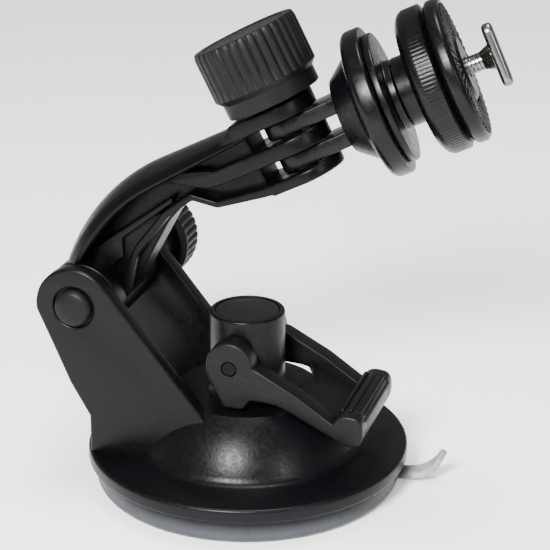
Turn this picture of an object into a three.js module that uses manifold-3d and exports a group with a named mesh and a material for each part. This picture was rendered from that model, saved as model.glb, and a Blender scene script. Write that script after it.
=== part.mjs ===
// Suction cup mount for a dash camera: lever-locked base, tilting arm, panning head with a
// T-shaped camera stud. Millimetres, +Z up. The origin is the centre of the suction pad's
// flat underside, +X is the side that the lever and the arm point to, +Y runs along the
// arm's tilt axis, from the bolt head to the rear knob.
import * as THREE from 'three';
import { mergeVertices } from 'three/addons/utils/BufferGeometryUtils.js';
import Module from 'manifold-3d';

const wasm = await Module();
wasm.setup();

// ---------------------------------------------------------------- driving dimensions
const GAP = 0.3; // clearance between pieces that touch or seat in each other
const RUN = 0.4; // radial clearance of a shank in its hole

const RIM_R = 36; // outside radius of the cover's rim
const RIM_TOP = 8.7; // height of the flat ring on top of the rim
const PAD_R = RIM_R - 1.7;
const PAD_FLOOR = 2.6; // thickness of the pad's middle
const PAD_H = 5.3; // height of the pad's edge, which the cover stands on
const TAB_HALF = 2.4; // half the width of the pad's pull tab
const TAB_ANGLE = 11; // degrees from +X to the tab
const DOME_FOOT_R = 25.5; // where the dome rises from the flat ring
const DOME_R = 27.4; // spherical radius of the dome
const WALL = 2.3; // wall of the dome
const LAND_R = 15.6; // flat land on top of the dome, which the lever's feet press on
const LAND_Z = 20.8;

const POST_R = 8.35;
const POST_TOP = 39.7;
const POST_BORE_R = POST_R - 2.75;
const CAP_R = POST_R - 1.25;
const CAP_H = 1.6;

const PIN_R = 1.5;
const PIN_Z = 30.8;
const LEVER_DROP = 2.4; // how far the pin and stem drop when the lever is lifted
const LEVER_INNER = POST_R + 0.65; // half the gap between the lever's side plates
const LEVER_PLATE = 4.6; // thickness of a side plate
const LEVER_HEAD_R = 5.2; // rounded top of a side plate
const LEVER_HEAD_RISE = 0.7; // height of the rounded top's centre above the pin
const ARCH_R = POST_R + 7.05; // round of the lever's arch, about the post
const LEVER_FOOT = 9.4; // from the pin down to the foot
const LEVER_TIP_X = 28.2;
const LEVER_TIP_Z = 15.9;

const STEM_R = 4.6;
const FOOT_R = 15; // disc at the foot of the stem
const FOOT_H = 2.4;

const EAR_INNER = 13.65; // half the gap between the two ears
const EAR_T = 3.85;
const EAR_TOP_R = 8.8;
const EAR_ROOT = 1.5; // how deep the ears reach into the rim
const EAR_BACK_X = -31.2; // where the ears' rear edge meets the rim
const EAR_FRONT_X = -0.6; // where the ears' front edge meets the dome
const PIVOT_X = -34.1;
const PIVOT_Z = 42.6;

const BOLT_R = 2.5; // M5 bolts in both clamped joints
const SQUARE_HALF = BOLT_R + 0.2; // half the square neck under the tilt bolt's head
const TILT_HEAD_R = 4.3;
const TILT_HEAD_SEAT = 0.9; // depth of the head's seat in the near ear
const TILT_KNOB_R = 10.8;
const TILT_KNOB_IN = 25; // the ribbed part of the rear knob starts this far from the centre
const TILT_KNOB_OUT = 35;
const TILT_HUB_R = 7.5;
const TILT_INSERT_R = 4.4;
const TILT_INSERT_END = TILT_KNOB_OUT - 3;

const ARM_ANGLE = 27; // degrees that the arm's straight part rises
const ARM_HALF = 13.2; // half the width of the arm's crowned top plate
const CROWN = 3.2; // how far the top plate is arched across its width
const TOP_PLATE_T = 2;
const TAPER_FROM = 8; // distance along the arm where the top plate starts to narrow
const ARM_BEND_R = 40;
const ARM_BEND_A = 25.5; // distance along the arm where the bend ends and the straight part starts
const ARM_TOP = 20.2; // height of the crown above the pivot, measured square to the arm
const BARREL_R = 8.6;
const BARREL_FAR = 10.4;
const RING_R = 8.2; // toothed ring between the barrel and the far ear
const RING_TEETH = 18;
const BODY_HALF = 8; // half the width of the arm's ribs and fingers
const WEB_HALF = 4.6;

const JOINT_A = 56.6; // distance along the arm from the tilt axis to the pan axis
const SLOT_A = 48.8; // where the slots between the arm's fingers end
const FINGER_LEVELS = [[4.3, 6.8], [10.8, 14.2], [18.2, 21.6]]; // the arm's three fingers
const BOSS_R = 5.6; // boss under the lowest finger, which holds the pan bolt's head
const BOSS_DROP = 0.4;
const PRONG_T = 3.4;
const PRONG_R = 4.8;

const KNOB_R = 11.6;
const KNOB_TOP = 37.8;
const KNOB_RIBS_FROM = 25.6;
const COLLAR_R = 10.4;
const PAN_WASHER_R = 6.4;
const PAN_INSERT_R = 4.6;
const PAN_INSERT_END = KNOB_TOP - 4.4;

const PAN_ANGLE = 10.5; // degrees that the head is panned away from the arm's line
const HEAD_RISE = 0.9; // height of the head's own axis above the middle of its fork, at the pan axis
const HEAD_DROOP = 2.5; // degrees that the head's own axis leans down from the fork
const HUB_BACK = 11.8; // the head's axial places, counted from the pan axis
const HUB_R = 8; // back of the hub, which the cone widens from
const RECESS = 2.4; // depth of the slot between the prongs in the hub's back
const CONE_FRONT = 16.6; // where the cone meets the flange
const CONE_R = 11.8;
const FLANGE_BACK = 17.4;
const FLANGE_FRONT = 21.6;
const PLATE_FRONT = 23.4;
const SEAM = 25;
const WHEEL_BACK = 28.9;
const WHEEL_FRONT = 35.1;
const DISC_FRONT = 39.1;
const BAR_BACK = 45;
const FLANGE_R = 16;
const PLATE_R = 14.9;
const WHEEL_R = 15.9;
const DISC_R = 15.8;
const DISC_HUB_R = 6.4; // smooth middle of the disc's ribbed face
const DISC_RIBS = 24;
const WHEEL_RIBS = 32;
const NECK_R = 7.5;
const SPIGOT_R = 5.3;
const SPIGOT_WALL = 1.4;
const ROOT_R = SPIGOT_R - 1.8; // the stud's root and the screw's head, inside the spigot
const SCREW_HEAD_H = 2.2;
const STUD_R = 2;
const BAR_LONG = 13.9;
const BAR_WIDE = 4;
const BAR_THICK = 2.5;

// ---------------------------------------------------------------- helpers
const rad = (deg) => (deg * Math.PI) / 180;

/** Makes a manifold from a closed geometry, turning it inside out if its faces point in. */
function solid(geometry) {
  let g = geometry.clone();
  g.deleteAttribute('normal');
  g.deleteAttribute('uv');
  g = mergeVertices(g, 1e-4);
  const vertProperties = new Float32Array(g.attributes.position.array);
  const triVerts = new Uint32Array(g.index.array);
  if (signedVolume(vertProperties, triVerts) < 0) {
    for (let i = 0; i < triVerts.length; i += 3) {
      [triVerts[i + 1], triVerts[i + 2]] = [triVerts[i + 2], triVerts[i + 1]];
    }
  }
  return new wasm.Manifold(new wasm.Mesh({ numProp: 3, vertProperties, triVerts }));
}

function signedVolume(p, tris) {
  const a = new THREE.Vector3();
  const b = new THREE.Vector3();
  const c = new THREE.Vector3();
  let sum = 0;
  for (let i = 0; i < tris.length; i += 3) {
    a.fromArray(p, tris[i] * 3);
    b.fromArray(p, tris[i + 1] * 3);
    c.fromArray(p, tris[i + 2] * 3);
    sum += a.dot(b.cross(c));
  }
  return sum;
}

/** Turns a profile of [radius, height] points, both ends on the axis, about +Z. */
function lathe(profile, segments = 48) {
  const points = profile.map(([r, z]) => new THREE.Vector2(r, z));
  const g = new THREE.LatheGeometry(points, segments);
  g.rotateX(Math.PI / 2);
  return solid(g);
}

/** A cylinder along +Z from z0 to z1. */
function rod(r, z0, z1, segments = 32) {
  const g = new THREE.CylinderGeometry(r, r, z1 - z0, segments);
  g.rotateX(Math.PI / 2);
  g.translate(0, 0, (z0 + z1) / 2);
  return solid(g);
}

function box(x0, x1, y0, y1, z0, z1) {
  const g = new THREE.BoxGeometry(x1 - x0, y1 - y0, z1 - z0);
  g.translate((x0 + x1) / 2, (y0 + y1) / 2, (z0 + z1) / 2);
  return solid(g);
}

/** Extrudes an X-Y shape along +Z from z0 to z1. */
function prism(shape, z0, z1, curveSegments = 12) {
  const g = new THREE.ExtrudeGeometry(shape, { depth: z1 - z0, bevelEnabled: false, curveSegments });
  g.translate(0, 0, z0);
  return solid(g);
}

/** Extrudes an X-Z shape along Y from y0 to y1. */
function slab(shape, y0, y1, curveSegments = 12) {
  const g = new THREE.ExtrudeGeometry(shape, { depth: y1 - y0, bevelEnabled: false, curveSegments });
  g.rotateX(Math.PI / 2);
  g.translate(0, y1, 0);
  return solid(g);
}

/** A straight-sided outline through the given points. */
function outline(points) {
  return new THREE.Shape(points.map(([x, y]) => new THREE.Vector2(x, y)));
}

/** A circle with straight grooves in it: the outline of a ribbed knob or a knurled wheel. */
function ribbedOutline(r, ribs, depth, landShare = 0.5) {
  const points = [];
  for (let i = 0; i < ribs; i += 1) {
    const pitch = (2 * Math.PI) / ribs;
    const stops = [[-landShare / 2, r], [landShare / 2, r], [0.5 - 0.1, r - depth], [0.5 + 0.1, r - depth]];
    for (const [share, radius] of stops) {
      const angle = (i + share) * pitch;
      points.push([radius * Math.cos(angle), radius * Math.sin(angle)]);
    }
  }
  return outline(points);
}

const alongX = (m) => m.rotate([0, 90, 0]); // +Z becomes +X
const alongY = (m) => m.rotate([-90, 0, 0]); // +Z becomes +Y

function material(color, roughness, metalness = 0) {
  return new THREE.MeshStandardMaterial({ color, roughness, metalness });
}

const looks = {
  matteBlack: material(0x1d1e20, 0.6),
  glossBlack: material(0x0f1211, 0.22),
  lever: material(0x232528, 0.5),
  pad: material(0x8a8d8e, 0.35),
  steel: material(0xb9b9b4, 0.3, 1),
  brass: material(0xb89a55, 0.35, 1),
};

/** Gives a solid back as a named mesh in its group. */
function add(group, name, manifold, look) {
  const { vertProperties, triVerts, numProp } = manifold.getMesh();
  const position = new Float32Array((vertProperties.length / numProp) * 3);
  for (let i = 0, j = 0; i < vertProperties.length; i += numProp, j += 3) {
    position[j] = vertProperties[i];
    position[j + 1] = vertProperties[i + 1];
    position[j + 2] = vertProperties[i + 2];
  }
  const g = new THREE.BufferGeometry();
  g.setAttribute('position', new THREE.BufferAttribute(position, 3));
  g.setIndex(new THREE.BufferAttribute(new Uint32Array(triVerts), 1));
  g.computeVertexNormals();
  const mesh = new THREE.Mesh(g, look);
  mesh.name = name;
  group.add(mesh);
}

// ---------------------------------------------------------------- base: cover, ears and post
const domeZ = RIM_TOP - Math.sqrt(DOME_R ** 2 - DOME_FOOT_R ** 2); // height of the dome's centre

/** Points of an arc of the dome, from radius r0 to the radius where it reaches height z1. */
function domeArc(radius, r0, z1, steps) {
  const a0 = Math.acos(r0 / radius);
  const a1 = Math.asin((z1 - domeZ) / radius);
  const points = [];
  for (let i = 0; i <= steps; i += 1) {
    const a = a0 + ((a1 - a0) * i) / steps;
    points.push([radius * Math.cos(a), domeZ + radius * Math.sin(a)]);
  }
  return points;
}

function earOutline() {
  const r = EAR_TOP_R;
  const shape = new THREE.Shape();
  const front = rad(37);
  const rear = rad(188);
  shape.moveTo(EAR_FRONT_X, LAND_Z - 6);
  shape.lineTo(PIVOT_X + r * Math.cos(front), PIVOT_Z + r * Math.sin(front));
  shape.absarc(PIVOT_X, PIVOT_Z, r, front, rear, false);
  shape.lineTo(PIVOT_X - 5.1, PIVOT_Z - 9.4);
  shape.lineTo(PIVOT_X - 1.5, PIVOT_Z - 17.8);
  shape.lineTo(EAR_BACK_X, PIVOT_Z - 25.4);
  shape.lineTo(EAR_BACK_X, RIM_TOP - EAR_ROOT);
  shape.lineTo(EAR_FRONT_X, RIM_TOP - EAR_ROOT);
  return shape;
}

function baseCover() {
  const bevel = 0.6;
  const outer = lathe([
    [0, PAD_H + GAP],
    [RIM_R, PAD_H + GAP],
    [RIM_R, RIM_TOP - bevel],
    [RIM_R - bevel, RIM_TOP],
    ...domeArc(DOME_R, DOME_FOOT_R, LAND_Z, 7),
    [LAND_R - 1.5, LAND_Z],
    [0, LAND_Z],
  ], 48);
  const innerR = DOME_R - WALL;
  const cavity = lathe([
    [0, PAD_H - 1],
    [DOME_FOOT_R - WALL, PAD_H - 1],
    ...domeArc(innerR, DOME_FOOT_R - WALL - 0.3, LAND_Z - WALL, 4),
    [0, LAND_Z - WALL],
  ], 32);
  const post = lathe([
    [0, LAND_Z - WALL],
    [POST_R, LAND_Z - WALL],
    [POST_R, POST_TOP - 0.5],
    [POST_R - 0.5, POST_TOP],
    [0, POST_TOP],
  ], 36);
  const bore = rod(POST_BORE_R, LAND_Z - WALL - 1, POST_TOP + 1, 24);
  const capSeat = rod(CAP_R + GAP, POST_TOP - CAP_H - GAP, POST_TOP + 1, 32);
  const slotHalf = PIN_R + RUN;
  const slot = new THREE.Shape();
  slot.absarc(0, PIN_Z, slotHalf, 0, Math.PI, false);
  slot.absarc(0, PIN_Z - LEVER_DROP, slotHalf, Math.PI, 2 * Math.PI, false);
  const pinSlot = slab(slot, -POST_R - 1, POST_R + 1, 8);

  const ear = earOutline();
  const ears = slab(ear, EAR_INNER, EAR_INNER + EAR_T, 12)
    .add(slab(ear, -EAR_INNER - EAR_T, -EAR_INNER, 12));
  const boltHole = alongY(rod(BOLT_R + RUN, -1, EAR_INNER + EAR_T + 1, 24))
    .translate([PIVOT_X, 0, PIVOT_Z]);
  const squareHalf = SQUARE_HALF + GAP;
  const squareHole = box(-squareHalf, squareHalf, -EAR_INNER - EAR_T - 1, 0, -squareHalf, squareHalf)
    .translate([PIVOT_X, 0, PIVOT_Z]);
  const nearFace = -EAR_INNER - EAR_T;
  const headSeat = alongY(rod(TILT_HEAD_R + GAP, nearFace - 1, nearFace + TILT_HEAD_SEAT, 32))
    .translate([PIVOT_X, 0, PIVOT_Z]);

  return outer.add(ears).subtract(cavity).add(post)
    .subtract(bore).subtract(capSeat).subtract(pinSlot)
    .subtract(boltHole).subtract(squareHole).subtract(headSeat);
}

// ---------------------------------------------------------------- suction pad, stem, spring
const FOOT_Z = 6.4; // underside of the stem's foot with the lever locked

function suctionPad() {
  const lip = 1;
  const body = lathe([
    [0, 0],
    [PAD_R - 0.6, 0],
    [PAD_R, lip],
    [PAD_R, PAD_H],
    [DOME_FOOT_R - WALL - 1, PAD_H],
    [FOOT_R + 2, PAD_FLOOR],
    [0, PAD_FLOOR],
  ], 48);
  const tabPath = outline([
    [PAD_R - 3, 0.6], [PAD_R + 5, 0.6], [PAD_R + 8.6, 2.8], [PAD_R + 10.6, 6.6],
    [PAD_R + 9.4, 7.4], [PAD_R + 7.4, 4.1], [PAD_R + 4.4, 2.2], [PAD_R - 3, 2.2],
  ]);
  const tab = slab(tabPath, -TAB_HALF, TAB_HALF).rotate([0, 0, TAB_ANGLE]);
  return body.add(tab);
}

function stem() {
  const foot = rod(FOOT_R, FOOT_Z, FOOT_Z + FOOT_H, 32);
  const shank = rod(STEM_R, FOOT_Z, PIN_Z + 4, 24);
  const hole = alongY(rod(PIN_R + GAP, -STEM_R - 1, STEM_R + 1, 20)).translate([0, 0, PIN_Z]);
  return foot.add(shank).subtract(hole);
}

/** A compression spring as a wire of round section along a helix. */
class Helix extends THREE.Curve {
  constructor(radius, z0, z1, turns) {
    super();
    Object.assign(this, { radius, z0, z1, turns });
  }

  getPoint(t, target = new THREE.Vector3()) {
    const angle = 2 * Math.PI * this.turns * t;
    const z = this.z0 + (this.z1 - this.z0) * t;
    return target.set(this.radius * Math.cos(angle), this.radius * Math.sin(angle), z);
  }
}

const SPRING_R = 7.4;
const SPRING_WIRE = 0.6;
const SPRING_TURNS = 4;

function returnSpring() {
  const section = new THREE.Shape().absarc(0, 0, SPRING_WIRE, 0, 2 * Math.PI, false);
  const z0 = FOOT_Z + FOOT_H + SPRING_WIRE + GAP;
  const z1 = LAND_Z - WALL - SPRING_WIRE - GAP;
  const path = new Helix(SPRING_R, z0, z1, SPRING_TURNS);
  const g = new THREE.ExtrudeGeometry(section, { steps: 48, curveSegments: 2, extrudePath: path });
  return solid(g);
}

// ---------------------------------------------------------------- lever
function leverPin() {
  const half = LEVER_INNER + LEVER_PLATE - 0.2;
  return alongY(rod(PIN_R, -half, half, 24)).translate([0, 0, PIN_Z]);
}

/** The lever from the side: round head at the pin, foot on the land, arm and turned-up tip. */
function leverSide() {
  const s = new THREE.Shape();
  s.absarc(0, PIN_Z + LEVER_HEAD_RISE, LEVER_HEAD_R, rad(-8), rad(185), false);
  s.lineTo(-LEVER_HEAD_R, PIN_Z - 1.5);
  s.lineTo(-1.6, PIN_Z - LEVER_FOOT + 0.6);
  s.lineTo(-0.8, PIN_Z - LEVER_FOOT);
  s.lineTo(2.8, PIN_Z - LEVER_FOOT);
  s.lineTo(3.7, PIN_Z - LEVER_FOOT + 0.9);
  s.lineTo(4.6, PIN_Z - 6.9);
  s.lineTo(11, PIN_Z - 7.3);
  s.lineTo(LEVER_TIP_X - 4.2, LEVER_TIP_Z + 1.2);
  s.quadraticCurveTo(LEVER_TIP_X - 1, LEVER_TIP_Z - 0.6, LEVER_TIP_X + 1, LEVER_TIP_Z + 0.4);
  s.lineTo(LEVER_TIP_X + 1.8, LEVER_TIP_Z + 3.4);
  s.quadraticCurveTo(LEVER_TIP_X + 2, LEVER_TIP_Z + 6.2, LEVER_TIP_X - 0.4, LEVER_TIP_Z + 7.2);
  s.quadraticCurveTo(LEVER_TIP_X - 3, LEVER_TIP_Z + 7.4, LEVER_TIP_X - 4.8, LEVER_TIP_Z + 4.9);
  return s;
}

function camLever() {
  const outer = LEVER_INNER + LEVER_PLATE;
  const block = slab(leverSide(), -outer, outer, 14);
  const arch = rod(ARCH_R, 0, PIN_Z + 20, 40)
    .intersect(box(-ARCH_R, ARCH_R, -LEVER_INNER, LEVER_INNER, 0, PIN_Z + 20));
  const trough = outline([
    [6, PIN_Z + 6], [LEVER_TIP_X - 4.8, PIN_Z + 6], [LEVER_TIP_X - 4.8, LEVER_TIP_Z + 3.2],
    [6, PIN_Z - 5],
  ]);
  const valley = slab(trough, -outer + LEVER_PLATE, outer - LEVER_PLATE);
  const hole = alongY(rod(PIN_R + GAP, -outer - 1, outer + 1, 24)).translate([0, 0, PIN_Z]);
  const over = DOME_R + 0.6;
  const domeBelow = lathe([
    [0, RIM_TOP],
    [DOME_FOOT_R, RIM_TOP],
    ...domeArc(over, DOME_FOOT_R, LAND_Z + 0.4, 6),
    [0, LAND_Z + 0.4],
  ], 40);
  let lever = block.subtract(arch).subtract(valley).subtract(hole).subtract(domeBelow);
  for (let i = 0; i < 3; i += 1) {
    const x = LEVER_TIP_X - 4.4 + i * 1.9;
    const z = LEVER_TIP_Z + 6.6 + Math.min(i, 1) * 0.8;
    const groove = box(-0.35, 0.35, -outer + 2, outer - 2, -0.6, 2).rotate([0, 20 - i * 18, 0]);
    lever = lever.subtract(groove.translate([x, 0, z]));
  }
  return lever;
}

// ---------------------------------------------------------------- tilt joint in the ears
const EAR_OUT = EAR_INNER + EAR_T;
const WASHER_T = 0.8;

function tiltBolt() {
  const seat = -EAR_OUT + TILT_HEAD_SEAT - GAP;
  const head = lathe([
    [0, seat],
    [TILT_HEAD_R, seat],
    [TILT_HEAD_R, seat - 1],
    [TILT_HEAD_R * 0.8, seat - 1.9],
    [TILT_HEAD_R * 0.45, seat - 2.3],
    [0, seat - 2.4],
  ], 32);
  const shank = rod(BOLT_R, seat - 0.5, TILT_KNOB_OUT - 3.4, 24);
  const neck = box(-SQUARE_HALF, SQUARE_HALF, -SQUARE_HALF, SQUARE_HALF, seat - 0.5, -EAR_INNER - 0.4);
  return alongY(head.add(shank).add(neck));
}

const ringIn = BARREL_FAR + GAP;

/** Ring with radial teeth on the far ear's inside, which the arm's barrel is clamped against. */
function ratchetRing() {
  let ring = rod(RING_R, ringIn + 0.9, EAR_INNER - GAP, 32)
    .subtract(rod(BOLT_R + RUN, 0, EAR_INNER + 1, 24));
  for (let i = 0; i < RING_TEETH; i += 1) {
    const tooth = box(RING_R - 3, RING_R - 0.1, -0.45, 0.45, ringIn, ringIn + 1.2);
    ring = ring.add(tooth.rotate([0, 0, (360 * i) / RING_TEETH]));
  }
  return alongY(ring);
}

function washer(outerR, innerR, z0, z1) {
  return rod(outerR, z0, z1, 28).subtract(rod(innerR, z0 - 1, z1 + 1, 20));
}

function tiltWasher() {
  return alongY(washer(TILT_HUB_R - 0.8, BOLT_R + RUN, EAR_OUT + GAP, EAR_OUT + GAP + WASHER_T));
}

/** A knob body: ribbed grip with rounded edges on a smooth hub, open at the hub's end. */
function knob({ r, ribs, depth, from, to, hubR, hubFrom, insertR, insertTo }) {
  const grip = prism(ribbedOutline(r, ribs, depth), from, to, 1);
  const round = lathe([
    [0, from],
    [r - 1.6, from],
    [r + 0.1, from + 1.9],
    [r + 0.1, to - 0.9],
    [r - 0.7, to],
    [0, to],
  ], 36);
  const hub = rod(hubR, hubFrom, from + 1, 36);
  const pocket = rod(insertR + GAP, hubFrom - 1, insertTo + GAP, 24);
  return grip.intersect(round).add(hub).subtract(pocket);
}

function insert(r, z0, z1) {
  return prism(ribbedOutline(r, 10, 0.3), z0, z1, 1).subtract(rod(BOLT_R + RUN, z0 - 1, z1 + 1, 24));
}

const tiltHubFrom = EAR_OUT + WASHER_T + 2 * GAP;
const tiltKnobSizes = {
  r: TILT_KNOB_R,
  ribs: 22,
  depth: 0.7,
  from: TILT_KNOB_IN,
  to: TILT_KNOB_OUT,
  hubR: TILT_HUB_R,
  hubFrom: tiltHubFrom,
  insertR: TILT_INSERT_R,
  insertTo: TILT_INSERT_END,
};

// ---------------------------------------------------------------- arm
/** The crown line of the arm: an arc up from the barrel, then a straight run to the fingers. */
class CrownLine extends THREE.Curve {
  constructor(drop, end) {
    super();
    this.r = ARM_BEND_R - drop;
    this.cx = ARM_BEND_A;
    this.cz = ARM_TOP - ARM_BEND_R;
    this.sweep = rad(50);
    this.end = end;
    this.arc = this.r * this.sweep;
    this.total = this.arc + (end - this.cx);
  }

  getPoint(t, target = new THREE.Vector3()) {
    const s = t * this.total;
    if (s < this.arc) {
      const a = Math.PI / 2 + this.sweep * (1 - s / this.arc);
      return target.set(this.cx + this.r * Math.cos(a), 0, this.cz + this.r * Math.sin(a));
    }
    return target.set(this.cx + s - this.arc, 0, this.cz + this.r);
  }
}

/** The top plate: an arched section swept along the crown line, narrower and thinner to its end. */
function topPlate() {
  const crownR = (ARM_HALF ** 2 + CROWN ** 2) / (2 * CROWN);
  const half = Math.asin(ARM_HALF / crownR);
  const steps = 8;
  const section = [];
  for (let i = 0; i <= steps; i += 1) {
    const a = -half + (2 * half * i) / steps;
    section.push([crownR * Math.sin(a), crownR * (1 - Math.cos(a))]);
  }
  section.push([ARM_HALF, CROWN + TOP_PLATE_T], [-ARM_HALF, CROWN + TOP_PLATE_T]);
  const path = new CrownLine(0, SLOT_A + 0.6);
  const g = new THREE.ExtrudeGeometry(outline(section), { steps: 16, extrudePath: path });
  const p = g.attributes.position;
  for (let i = 0; i < p.count; i += 1) {
    const x = p.getX(i);
    const share = THREE.MathUtils.clamp((x - TAPER_FROM) / (SLOT_A - TAPER_FROM), 0, 1);
    const thin = THREE.MathUtils.lerp(1, 0.5, share);
    const bentX = Math.min(x - path.cx, 0);
    const depth = path.r - Math.hypot(bentX, p.getZ(i) - path.cz);
    const radius = path.r - depth * thin;
    const turn = Math.atan2(bentX, p.getZ(i) - path.cz);
    p.setX(i, Math.max(x - path.cx, 0) + path.cx + radius * Math.sin(turn));
    p.setZ(i, path.cz + radius * Math.cos(turn));
    p.setY(i, p.getY(i) * THREE.MathUtils.lerp(1, BODY_HALF / ARM_HALF, share));
  }
  return solid(g);
}

/** A finger of the arm's fork: a bar with a round end about the pan axis. */
function finger(z0, z1, from, r) {
  const s = new THREE.Shape();
  s.moveTo(from, -r);
  s.absarc(JOINT_A, 0, r, -Math.PI / 2, Math.PI / 2, false);
  s.lineTo(from, r);
  return prism(s, z0, z1, 12);
}

function armWeb() {
  const top = ARM_TOP - CROWN - 0.5;
  const s = new THREE.Shape();
  s.moveTo(6, -5);
  s.lineTo(24, 7.6);
  s.lineTo(31.6, 10.6);
  s.lineTo(36.2, 6.2);
  s.lineTo(SLOT_A, 6.2);
  s.lineTo(SLOT_A, top + 2);
  s.lineTo(26, top);
  s.lineTo(12, top - 2.6);
  s.lineTo(2, top - 7.6);
  s.lineTo(-5, 4);
  return slab(s, -WEB_HALF, WEB_HALF);
}

/** The lower ribs: a flange under the fingers, a jog, and a tapering rib down to the barrel. */
function armRibs() {
  const bottomFinger = FINGER_LEVELS[0];
  const ribs = slab(outline([
    [-2, 7.6], [13.9, 10.2], [30.8, 13.3], [36.4, bottomFinger[1] + 0.6], [48, bottomFinger[1]],
    [56, bottomFinger[1]], [56, bottomFinger[0]], [47, 5.2], [37, 6.6], [32.4, 10.2],
    [25.4, 8.8], [14.5, 3.4], [6.4, -5.4],
  ]), -BODY_HALF, BODY_HALF);
  const pocket = outline([[11.5, 4.4], [13.2, 8.3], [28.4, 11.2], [24.9, 10.2], [15, 5.6]]);
  const pockets = slab(pocket, WEB_HALF, BODY_HALF + 1).add(slab(pocket, -BODY_HALF - 1, -WEB_HALF));
  return ribs.subtract(pockets);
}

function arm() {
  const barrel = alongY(rod(BARREL_R, -ARM_HALF, BARREL_FAR, 32));
  const [low, mid, high] = FINGER_LEVELS;
  const tongueRoot = slab(outline([
    [32.6, 16.5], [36.6, mid[0] + 0.8], [41, mid[0]], [SLOT_A + 1, mid[0]],
    [SLOT_A + 1, mid[1]], [40, mid[1]],
  ]), -BODY_HALF, BODY_HALF);
  const topRoot = slab(outline([
    [SLOT_A - 5, ARM_TOP - 2.6], [SLOT_A, high[0] - 0.4], [SLOT_A + 2, high[0]],
    [SLOT_A + 2, high[1]], [SLOT_A, high[1]], [SLOT_A - 3, ARM_TOP - 0.8],
  ]), -BODY_HALF, BODY_HALF);
  let body = barrel.add(topPlate()).add(armWeb()).add(armRibs()).add(tongueRoot).add(topRoot);
  for (const [z0, z1] of FINGER_LEVELS) {
    body = body.add(finger(z0, z1, SLOT_A - 0.5, BODY_HALF));
  }
  body = body.add(rod(BOSS_R, bossBottom, low[0] + 0.5, 28).translate([JOINT_A, 0, 0]));
  const chamfer = slab(outline([[47, 2], [47, 5.6], [55, low[0]], [55, 2]]), -ARM_HALF, ARM_HALF);
  const tiltHole = alongY(rod(BOLT_R + RUN, -ARM_HALF - 1, BARREL_FAR + 1, 24));
  const ringSpace = alongY(rod(RING_R + GAP, BARREL_FAR, ARM_HALF + 1, 32));
  const panHole = rod(BOLT_R + RUN, low[0] - 1, high[1] + 1, 24).translate([JOINT_A, 0, 0]);
  const hexPocket = rod(BOLT_HEX_R + GAP, bossBottom - 1, boltHeadTop + GAP, 6)
    .translate([JOINT_A, 0, 0]);
  return body.subtract(chamfer).subtract(tiltHole).subtract(ringSpace)
    .subtract(panHole).subtract(hexPocket);
}

// ---------------------------------------------------------------- pan joint: bolt, washer, knob
const BOLT_HEX_R = 4.2; // corner radius of the pan bolt's hexagon head
const boltHeadTop = FINGER_LEVELS[0][0] + 1;
const bossBottom = FINGER_LEVELS[0][0] - BOSS_DROP;
const topWasherZ = FINGER_LEVELS[2][1] + GAP;
const collarFrom = topWasherZ + GAP;

function panBolt() {
  return rod(BOLT_HEX_R, bossBottom + 0.1, boltHeadTop, 6)
    .add(rod(BOLT_R, boltHeadTop - 1, KNOB_TOP - 5, 24));
}

const panKnobSizes = {
  r: KNOB_R,
  ribs: 24,
  depth: 0.7,
  from: KNOB_RIBS_FROM,
  to: KNOB_TOP,
  hubR: COLLAR_R,
  hubFrom: collarFrom,
  insertR: PAN_INSERT_R,
  insertTo: PAN_INSERT_END,
};

function panKnob() {
  const recess = rod(PAN_WASHER_R + RUN, collarFrom - 1, topWasherZ + WASHER_T + GAP, 36);
  return knob(panKnobSizes).subtract(recess);
}

// ---------------------------------------------------------------- head
/** Prong of the head's fork, from its round end about the pan axis to the hub. */
function prong(z0, z1) {
  const s = new THREE.Shape();
  s.absarc(0, 0, PRONG_R, Math.PI / 2, (3 * Math.PI) / 2, false);
  s.lineTo(HUB_BACK + 1, -PRONG_R);
  s.lineTo(HUB_BACK + 1, PRONG_R);
  return prism(s, z0, z1, 10);
}

const prongIn = (FINGER_LEVELS[1][1] - FINGER_LEVELS[1][0]) / 2 + GAP;

function headYoke() {
  const hub = alongX(lathe([
    [0, HUB_BACK],
    [HUB_R, HUB_BACK],
    [CONE_R, CONE_FRONT],
    [FLANGE_R - 0.9, FLANGE_BACK],
    [FLANGE_R, FLANGE_BACK + 0.9],
    [FLANGE_R, FLANGE_FRONT - 0.5],
    [FLANGE_R - 0.5, FLANGE_FRONT],
    [0, FLANGE_FRONT],
  ], 40));
  const screwHole = alongX(rod(STUD_R + RUN, HUB_BACK - 1, FLANGE_FRONT + 1, 20));
  const recess = box(HUB_BACK - 1, HUB_BACK + RECESS, -CONE_R, CONE_R, -prongIn, prongIn);
  const body = hub.subtract(screwHole)
    .rotate([0, HEAD_DROOP, 0])
    .translate([0, 0, HEAD_RISE])
    .subtract(recess)
    .add(prong(prongIn, prongIn + PRONG_T))
    .add(prong(-prongIn - PRONG_T, -prongIn));
  const boltHole = rod(BOLT_R + RUN, -10, 10, 20);
  return body.subtract(boltHole);
}

const hubFrom = FLANGE_FRONT + GAP;
const screwSeat = PLATE_FRONT + 0.6;
const spigotEnd = WHEEL_FRONT - 0.7;

function swivelHub() {
  const outer = lathe([
    [0, hubFrom],
    [PLATE_R, hubFrom],
    [PLATE_R, PLATE_FRONT - 0.6],
    [PLATE_R - 0.6, PLATE_FRONT],
    [NECK_R, PLATE_FRONT],
    [NECK_R, SEAM],
    [SPIGOT_R, SEAM],
    [SPIGOT_R, spigotEnd],
    [0, spigotEnd],
  ], 36);
  const bore = rod(SPIGOT_R - SPIGOT_WALL, screwSeat, spigotEnd + 1, 24);
  const hole = rod(STUD_R + RUN, hubFrom - 1, screwSeat + 1, 20);
  return alongX(outer.subtract(bore).subtract(hole));
}

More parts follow.
